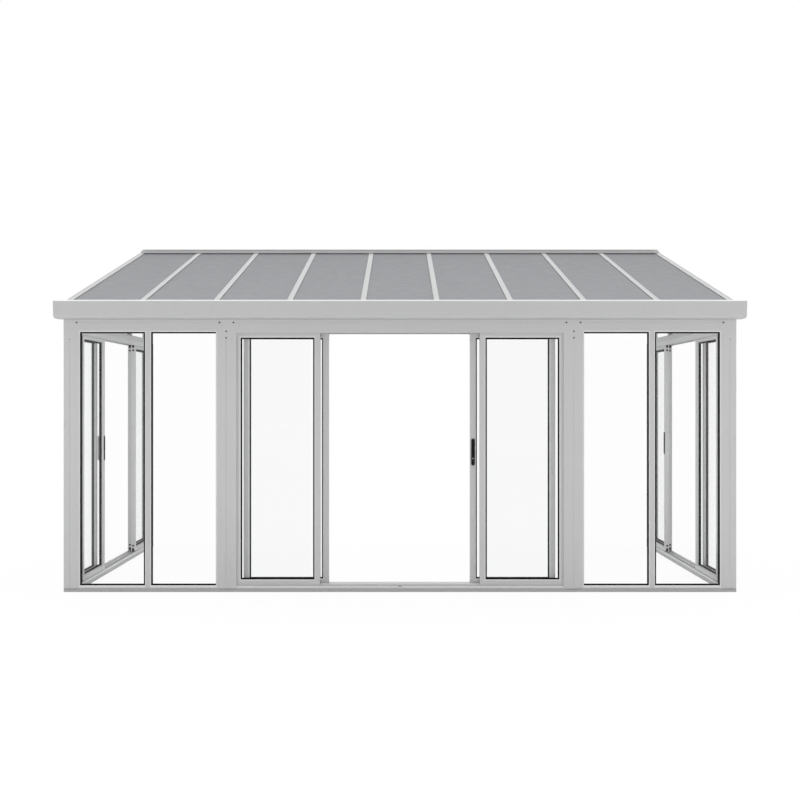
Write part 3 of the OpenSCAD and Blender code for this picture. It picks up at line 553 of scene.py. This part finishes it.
def bead_ring(low, high, foot, depth):
    """A sloping ring round an opening, from the outer face y = 0 to depth behind it."""
    shape = bmesh.new()
    bmesh.ops.create_grid(shape, x_segments=1, y_segments=1, size=0.5)
    bmesh.ops.transform(shape, matrix=STAND_UP, verts=shape.verts)
    size = (high.x - low.x + 2 * BEAD_WIDTH, 1.0, high.z - low.z + 2 * BEAD_WIDTH)
    bmesh.ops.scale(shape, vec=size, verts=shape.verts)
    middle = shape.faces[:][0]
    bmesh.ops.inset_region(shape, faces=[middle], thickness=BEAD_WIDTH, use_boundary=True,
                           use_even_offset=True)
    bmesh.ops.translate(shape, vec=(0, depth, 0), verts=middle.verts)
    lower = [v for v in shape.verts if v not in middle.verts[:] and v.co.z < 0]
    bmesh.ops.translate(shape, vec=(0, 0, BEAD_WIDTH - foot), verts=lower)
    bmesh.ops.delete(shape, geom=[middle], context="FACES_ONLY")
    bmesh.ops.recalc_face_normals(shape, faces=shape.faces[:])
    bmesh.ops.solidify(shape, geom=shape.faces[:], thickness=BEAD_THICKNESS)
    bmesh.ops.recalc_face_normals(shape, faces=shape.faces[:])
    centre = ((low.x + high.x) / 2, BEAD_SET_BACK, (low.z + high.z) / 2)
    bmesh.ops.translate(shape, vec=centre, verts=shape.verts)
    return shape


# %% Beads on the windows and doors
# Each entry is the height of the bead's foot, its depth, and how far the pane
# lies behind the outer face. The windows have a high ledge below the glass.
WINDOW_BEAD = (0.0168, 0.004, 0.009)
LEAF_BEAD = (BEAD_WIDTH, 0.0049, 0.008)
beads = defaultdict(bmesh.new)
for group, body, wall, box in openings:
    low, high = on_wall(wall, box)
    low = low + Vector((PANE_EDGE, 0, PANE_EDGE))
    high = high - Vector((PANE_EDGE, 0, PANE_EDGE))
    foot, depth, pane_depth = WINDOW_BEAD if group == "window" else LEAF_BEAD
    place = walls[wall] @ Matrix.Translation((0, low.y - pane_depth, 0))
    lay(beads[group, body], bead_ring(low, high, foot, depth), place)
bead_faces = sum(len(shape.faces) for shape in beads.values())
print("bead rings in", len(beads), "pieces with", bead_faces, "faces")
# the beads' paler grey is a painted highlight on the sloping edges round the panes
for (group, body), shape in beads.items():
    add_piece(group + "_beads", shape, body, bead_coat)

# %% [markdown]
# ## Spacer bars
# A glass unit is two sheets with a black bar between them all round, which shows
# a few millimetres inside the seals. Seen along the wall, it makes the dark line
# round each pane. A ring of this kind is a box whose two large faces are inset
# and joined by a bridge. Beside the door jambs and at the leading stile of a
# front door the frame covers the bar, so there its inner rim is moved back.

# %% Shape of a spacer bar
def square_ring(low, high, width):
    """A ring of the given width round the box from low to high, y its thickness."""
    shape = bmesh.new()
    bmesh.ops.create_cube(shape, size=1.0)
    bmesh.ops.scale(shape, vec=high - low, verts=shape.verts)
    bmesh.ops.translate(shape, vec=(low + high) / 2, verts=shape.verts)
    large = [f for f in shape.faces if abs(f.normal.y) > 0.9]
    for face in large:
        bmesh.ops.inset_region(shape, faces=[face], thickness=width, use_even_offset=True)
    rims = [edge for face in large for edge in face.edges]
    bmesh.ops.delete(shape, geom=large, context="FACES_ONLY")
    bmesh.ops.bridge_loops(shape, edges=rims)
    bmesh.ops.recalc_face_normals(shape, faces=shape.faces[:])
    return shape


# %% Spacer bars in the glass units
SPACER_WIDTH = 0.0165
SPACER_INSET = Vector((0.003, 0.0015, 0.003))       # from the pane's box, on each side
RIM_BACK = 0.009                                    # how far a covered rim is moved
NEAR_JAMB = 0.1                                     # a window's edge this near the jamb is covered
NEAR_MIDDLE = 0.75                                  # a front door's leading stile is nearer than this
spacers = defaultdict(bmesh.new)
for group, body, wall, box in openings:
    low, high = on_wall(wall, box)
    ring = square_ring(low + SPACER_INSET, high - SPACER_INSET, SPACER_WIDTH)
    for side, pane_x in ((-1, low.x), (1, high.x)):
        edge_x = pane_x - side * PANE_EDGE
        beside_jamb = group == "window" and abs(abs(edge_x) - door_edge) < NEAR_JAMB
        leading = group in ("front_left", "front_right") and abs(edge_x) < NEAR_MIDDLE
        if beside_jamb or leading:
            inner_x = pane_x - side * (SPACER_INSET.x + SPACER_WIDTH)
            rim = [v for v in ring.verts if abs(v.co.x - inner_x) < 0.0001]
            bmesh.ops.translate(ring, vec=(side * RIM_BACK, 0, 0), verts=rim)
    lay(spacers[group, body], ring, walls[wall])
for (group, body), shape in spacers.items():
    add_piece(group + "_spacers", shape, body, spacer_coat)
print("spacer bars in", len(spacers), "pieces")

# %% [markdown]
# ## Screws and covers
# The frames are held together by screws with low heads and a round socket. A short
# cone with its narrow end outwards gives the head, and the socket is an inset face
# that is pushed in. The long covers over the adjusting holes start from a circle
# whose two halves are moved apart, which leaves a stadium shape to extrude.

# %% Shapes of the fasteners
ROUND = 20                                          # sides of a round outline
COVER_RIM = 0.0008


def screw_head(radius, proud):
    """A low head on the plane y = 0 that looks to the outside, with a socket."""
    shape = bmesh.new()
    bmesh.ops.create_cone(shape, cap_ends=True, cap_tris=False, segments=ROUND,
                          radius1=radius, radius2=radius * 0.8, depth=proud)
    face = max(shape.faces, key=lambda f: f.calc_center_median().z)
    bmesh.ops.inset_region(shape, faces=[face], thickness=radius * 0.4, use_even_offset=True)
    pushed = bmesh.ops.extrude_discrete_faces(shape, faces=[face])["faces"][0]
    bmesh.ops.translate(shape, vec=(0, 0, -proud * 0.7), verts=pushed.verts)
    bmesh.ops.translate(shape, vec=(0, 0, proud / 2 - SINK), verts=shape.verts)
    bmesh.ops.transform(shape, matrix=STAND_UP, verts=shape.verts)
    return shape


def long_cover(width, length, proud):
    """A round-ended cover on the plane y = 0, upright, with a sunk middle."""
    shape = bmesh.new()
    bmesh.ops.create_circle(shape, cap_ends=True, segments=ROUND, radius=width / 2)
    reach = (length - width) / 2
    bmesh.ops.translate(shape, vec=(0, reach, 0), verts=[v for v in shape.verts if v.co.y > 1e-6])
    bmesh.ops.translate(shape, vec=(0, -reach, 0), verts=[v for v in shape.verts if v.co.y < -1e-6])
    face = shape.faces[:][0]
    if face.normal.z < 0:
        face.normal_flip()
    raised = bmesh.ops.extrude_face_region(shape, geom=[face])["geom"]
    top = [g for g in raised if isinstance(g, bmesh.types.BMFace)][0]
    bmesh.ops.translate(shape, vec=(0, 0, proud), verts=top.verts)
    bmesh.ops.inset_region(shape, faces=[top], thickness=COVER_RIM, use_even_offset=True)
    bmesh.ops.translate(shape, vec=(0, 0, -proud * 0.5), verts=top.verts)
    bmesh.ops.recalc_face_normals(shape, faces=shape.faces[:])
    bmesh.ops.translate(shape, vec=(0, 0, -SINK), verts=shape.verts)
    bmesh.ops.transform(shape, matrix=STAND_UP, verts=shape.verts)
    return shape


# %% Screws on the outside of the front
# At each joint between a window and the doors two screws hold the frames together,
# above the groove along the joint. Three larger ones on each side stand in the line
# under the gutter's beam, and a small one sits at the joint with the corner post.
window_edge = -min(box[0].x for box in solid_boxes("window_frames"))
# x from the middle, z, radius and height of each head
screw_places = [
    (door_edge, wall_top - 0.070, 0.007, 0.0012),
    (door_edge, wall_top - 0.122, 0.007, 0.0012),
    (door_edge - 0.059, wall_top, 0.0075, 0.0012),
    (door_edge + 0.053, wall_top, 0.0075, 0.0012),
    (window_edge - 0.053, wall_top, 0.0075, 0.0012),
    (window_edge, wall_top - 0.134, 0.004, 0.001),
]
front_screws = bmesh.new()
for side in (-1, 1):
    for x, z, radius, proud in screw_places:
        lay(front_screws, screw_head(radius, proud), walls["front"] @ Matrix.Translation((side * x, 0, z)))
add_piece("front_screws", front_screws, "root", dark_steel)
print("front joints at x", round(door_edge, 3), round(window_edge, 3))

# %% [markdown]
# ## Fittings on the edges of the door leaves
# In the free edge of each leaf, a screw and a long cover near the top and the
# foot hold the stile to the rails and close the hole that adjusts the roller. One
# thing is still wrong here: the outer ends of the covers reach 2 to 11 mm into the
# ribs of the sills and heads, so the covers should start further from the ends.

# %% Edge fittings
FITTING_PROUD = 0.0012
EDGE_SCREW_RADIUS = 0.0095
EDGE_COVER_WIDTH = 0.019
EDGE_COVER_LENGTH = 0.035
SCREW_FROM_END = 0.062                              # from the end of the leaf to the middle
COVER_FROM_END = 0.022


def edge_fittings(target, wall, box, side):
    """The four fittings in the free edge of a leaf, which looks to the doorway."""
    low, high = on_wall(wall, box)
    edge = low.x if side > 0 else high.x
    middle = (low.y + high.y) / 2
    turn = Matrix.Rotation(-side * math.pi / 2, 4, "Z")
    for height in (low.z + SCREW_FROM_END, high.z - SCREW_FROM_END):
        place = walls[wall] @ Matrix.Translation((edge, middle, height)) @ turn
        lay(target, screw_head(EDGE_SCREW_RADIUS, FITTING_PROUD), place)
    for height in (low.z + COVER_FROM_END, high.z - COVER_FROM_END):
        place = walls[wall] @ Matrix.Translation((edge, middle, height)) @ turn
        lay(target, long_cover(EDGE_COVER_WIDTH, EDGE_COVER_LENGTH, FITTING_PROUD), place)


for body, (wall, side) in sliding_leaves.items():
    fittings = bmesh.new()
    edge_fittings(fittings, wall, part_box(body + "_leaf"), side)
    add_piece(body + "_edge_fittings", fittings, body, black_steel)
fixed_leaves = solid_boxes("fixed_leaf_frames")
fixed_fittings = bmesh.new()
for box in fixed_leaves:
    wall = wall_of(box)
    low, high = on_wall(wall, box)
    edge_fittings(fixed_fittings, wall, box, 1 if low.x + high.x > 0 else -1)
add_piece("fixed_leaf_edge_fittings", fixed_fittings, "root", black_steel)
print("edge fittings on", len(sliding_leaves) + len(fixed_leaves), "leaves")

# %% [markdown]
# ## Drain covers
# Rain that gets into the tracks runs out through a slot in the middle of each
# sill's face. A small cover keeps the wind out of it.

# %% Drain covers
DRAIN_OVER_RAIL = 0.0142                            # from the rail's top to the cover's middle
DRAIN_COVER = (0.007, 0.034, 0.002)                 # width, length and height
LIE_DOWN = Matrix.Rotation(math.pi / 2, 4, "Y")
drain_covers = bmesh.new()
for place in walls.values():
    middle = place @ Matrix.Translation((0, 0, rail_top + DRAIN_OVER_RAIL))
    lay(drain_covers, long_cover(*DRAIN_COVER), middle @ LIE_DOWN)
add_piece("sill_drain_covers", drain_covers, "root", cover_plastic)
print("drain covers:", len(walls))

# %% [markdown]
# ## Key plugs
# In the round cylinder of each handle plate sits a nickel plug with a keyhole.
# The plug is a short bevelled cylinder. Four cuts across its face mark out the
# keyhole, and the small face between them is pushed in.

# %% Shape of a key plug
def key_plug(radius, proud):
    """A plug on the plane y = 0 that looks to the outside, with a keyhole."""
    shape = bmesh.new()
    bmesh.ops.create_cone(shape, cap_ends=True, cap_tris=False, segments=24,
                          radius1=radius, radius2=radius, depth=proud)
    top = max(shape.faces, key=lambda f: f.calc_center_median().z)
    bmesh.ops.bevel(shape, geom=top.edges[:], offset=radius * 0.15, offset_type="OFFSET", segments=2,
                    profile=0.5, affect="EDGES", material=-1)
    for normal, reach in ((Vector((1, 0, 0)), 0.0006), (Vector((0, 1, 0)), 0.0022)):
        for way in (-1, 1):
            top = [f for f in shape.faces if f.normal.z > 0.99]
            geom = top + [e for f in top for e in f.edges] + [v for f in top for v in f.verts]
            bmesh.ops.bisect_plane(shape, geom=list(dict.fromkeys(geom)), plane_co=normal * reach * way,
                                   plane_no=normal * way)
    hole = min((f for f in shape.faces if f.normal.z > 0.99),
               key=lambda f: f.calc_center_median().to_2d().length)
    pushed = bmesh.ops.extrude_discrete_faces(shape, faces=[hole])["faces"][0]
    bmesh.ops.translate(shape, vec=(0, 0, -proud * 0.7), verts=pushed.verts)
    bmesh.ops.translate(shape, vec=(0, 0, proud / 2 - SINK), verts=shape.verts)
    bmesh.ops.transform(shape, matrix=STAND_UP, verts=shape.verts)
    return shape


# %% Key plugs on both sides of the handles
PLUG_RADIUS = 0.0042
PLUG_PROUD = 0.0014
PLUG_BELOW_MIDDLE = 0.235                           # as a share of the plate's length
TURN_ROUND = Matrix.Rotation(math.pi, 4, "Z")
handles = {
    "front_handle": ("front_right", "front"),
    "left_handle": ("left_front", "left"),
    "right_handle": ("right_rear", "right"),
}
for node, (body, wall) in handles.items():
    low, high = on_wall(wall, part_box(node))
    middle = (low + high) / 2
    plug_z = middle.z - PLUG_BELOW_MIDDLE * (high.z - low.z)
    outside = walls[wall] @ Matrix.Translation((middle.x, low.y, plug_z))
    inside = walls[wall] @ Matrix.Translation((middle.x, high.y, plug_z)) @ TURN_ROUND
    plugs = bmesh.new()
    for place in (outside, inside):
        lay(plugs, key_plug(PLUG_RADIUS, PLUG_PROUD), place)
    add_piece(node + "_key_plugs", plugs, body, nickel)
print("key plugs on", len(handles), "handles")

# %% [markdown]
# ## Draught brushes
# Brush strips close the slit between the leaves and the back lips of the head
# and the sill. A strip is a flat backing with a thinner comb of pile. Those at
# the heads are fixed to the lip, and their tips stop a millimetre short of the
# leaves. Those at the sills are still wrong: their height is taken from the top
# of the sill, which is a rib and not the back lip. So they hang 9 mm above the
# lip, and end inside the leaves. They should be fixed 3 mm below the lip's top.

# %% Draught brushes
BACKING_HEIGHT = 0.004
BACKING_DEPTH = 0.0012
PILE = 0.0026
BACK_LIP = 0.003
HEAD_BRUSH_UP = 0.007                               # from the lowest point of a head
SILL_BRUSH_DOWN = 0.003                             # from the highest point of a sill
END_CLEARANCE = 0.004                               # both ends together


def brush_strip(length):
    """A strip along x, its backing on the plane y = 0 and its pile towards -y."""
    shape = bmesh.new()
    bmesh.ops.create_cube(shape, size=1.0)
    bmesh.ops.scale(shape, vec=(length, BACKING_DEPTH, BACKING_HEIGHT), verts=shape.verts)
    bmesh.ops.translate(shape, vec=(0, -BACKING_DEPTH / 2, 0), verts=shape.verts)
    face = min(shape.faces, key=lambda f: f.calc_center_median().y)
    bmesh.ops.inset_region(shape, faces=[face], thickness=BACKING_HEIGHT * 0.2, use_even_offset=True)
    pushed = bmesh.ops.extrude_discrete_faces(shape, faces=[face])["faces"][0]
    bmesh.ops.translate(shape, vec=(0, -PILE, 0), verts=pushed.verts)
    return shape


brushes = bmesh.new()
for wall in walls:
    for node in ("door_heads", "door_sills"):
        solid = [box for box in solid_boxes(node) if wall_of(box) == wall][0]
        low, high = on_wall(wall, solid)
        z = low.z + HEAD_BRUSH_UP if node == "door_heads" else high.z - SILL_BRUSH_DOWN
        place = Matrix.Translation(((low.x + high.x) / 2, high.y - BACK_LIP, z))
        lay(brushes, brush_strip(high.x - low.x - END_CLEARANCE), walls[wall] @ place)
add_piece("draught_brushes", brushes, "root", brush)
print("draught brushes:", 2 * len(walls))

# %% [markdown]
# ## Floor and daylight studio
# A white studio. The world gives a different light from each direction: the sky
# above is the brightest part, and the part behind the camera has less than a third
# of the light at the back, so the lamps light the front and the world fills in the
# rest. For the eye, in a mirror and through glass, the background and most of the
# floor are plain white.

# %% The world
WHITE = (1.0, 1.0, 1.0, 1.0)


def seen_by_eye(add):
    """1 for what the camera sees, also in a mirror and through glass, and 0 for other rays."""
    ray = add("LightPath")
    direct = maths(add, "MAXIMUM", ray.outputs["Is Camera Ray"], ray.outputs["Is Glossy Ray"])
    return maths(add, "MAXIMUM", direct, ray.outputs["Is Transmission Ray"])


world = bpy.data.worlds.new("studio")
bpy.context.scene.world = world
world.use_nodes = True
world.node_tree.nodes.clear()
add = node_adder(world.node_tree)
axes = add("SeparateXYZ", None, Vector=add("TexCoord").outputs["Generated"])
towards_back = add("MapRange", {"interpolation_type": "SMOOTHSTEP"}, Value=axes.outputs["Y"],
                   From_Min=-0.8, From_Max=0.1, To_Min=0.30, To_Max=1.05)
overhead = spread(add, axes.outputs["Z"], 0.0, 1.0, 0.98, 1.5)
level = maths(add, "MULTIPLY", towards_back.outputs["Result"], overhead)
daylight = add("Background", None, Color=WHITE, Strength=level)
plain = add("Background", None, Color=WHITE)
mixed = add("MixShader", None, _0=seen_by_eye(add), _1=daylight.outputs["Background"],
            _2=plain.outputs["Background"])
add("OutputWorld", None, Surface=mixed.outputs["Shader"])
print("nodes in the world:", len(world.node_tree.nodes))

# %% The floor
FLOOR_HALF_SIZE = 60.0
WHITE_SHARE = 0.93                                  # the rest shows the object's shadow
floor_shape = bmesh.new()
bmesh.ops.create_grid(floor_shape, x_segments=1, y_segments=1, size=FLOOR_HALF_SIZE)
floor_mesh = bpy.data.meshes.new("studio_floor")
floor_shape.to_mesh(floor_mesh)
floor_shape.free()
floor = bpy.data.objects.new("studio_floor", floor_mesh)
bpy.context.scene.collection.objects.link(floor)
floor_material, add = new_material("studio_floor")
grain = spread(add, noise(add, add("TexCoord").outputs["Object"], 2.0, 3.0), 0.3, 0.7, 0.9, 0.92)
pale = add("CombineColor", None, Red=grain, Green=grain, Blue=grain).outputs["Color"]
matt = add("BsdfDiffuse", None, Color=pale)
white = add("Emission", None, Color=WHITE, Strength=1.0)
share = maths(add, "MULTIPLY", seen_by_eye(add), WHITE_SHARE)
mixed = add("MixShader", None, _0=share, _1=matt.outputs["BSDF"], _2=white.outputs["Emission"])
add("OutputMaterial", None, Surface=mixed.outputs["Shader"])
floor_mesh.materials.append(floor_material)
print("floor:", 2 * FLOOR_HALF_SIZE, "m wide")

# %% [markdown]
# ## Lamps
# One wide soft box far behind the camera lights all that faces it, under the
# gutter as well. A long low one lifts the foot of the front, where the ground
# gives back less light. One inside the front wall looks into the room, and two
# smaller ones to the left and right give the ends of the front a little more.
# The lamps themselves show in no reflection.

# %% Soft boxes
def soft_box(place, target, width, height, watts):
    lamp_data = bpy.data.lights.new("soft_box", "AREA")
    lamp_data.shape = "RECTANGLE"
    lamp_data.size = width
    lamp_data.size_y = height
    lamp_data.energy = watts
    lamp = bpy.data.objects.new("soft_box", lamp_data)
    lamp.location = place
    lamp.rotation_euler = (Vector(target) - lamp.location).to_track_quat("-Z", "Y").to_euler()
    lamp.visible_glossy = False
    lamp.visible_transmission = False
    lamp.visible_camera = False
    bpy.context.scene.collection.objects.link(lamp)


soft_box((0.0, front_y - 30.0, 1.6), (0.0, front_y, 1.3), width=12.5, height=5.0, watts=2350.0)
soft_box((0.0, front_y - 3.0, 0.3), (0.0, front_y, 0.25), width=6.0, height=0.4, watts=14.0)
soft_box((0.0, front_y + 0.16, 1.25), (0.0, front_y + 3.0, 1.25), width=5.1, height=1.9, watts=28.0)
for side in (-1, 1):
    soft_box((side * 4.7, front_y - 2.6, 1.7), (side * 2.7, front_y, 1.5), width=1.6, height=2.6,
             watts=20.0)
print("lamps:", len(bpy.data.lights))

# %% View settings
bpy.context.scene.view_settings.view_transform = "Standard"
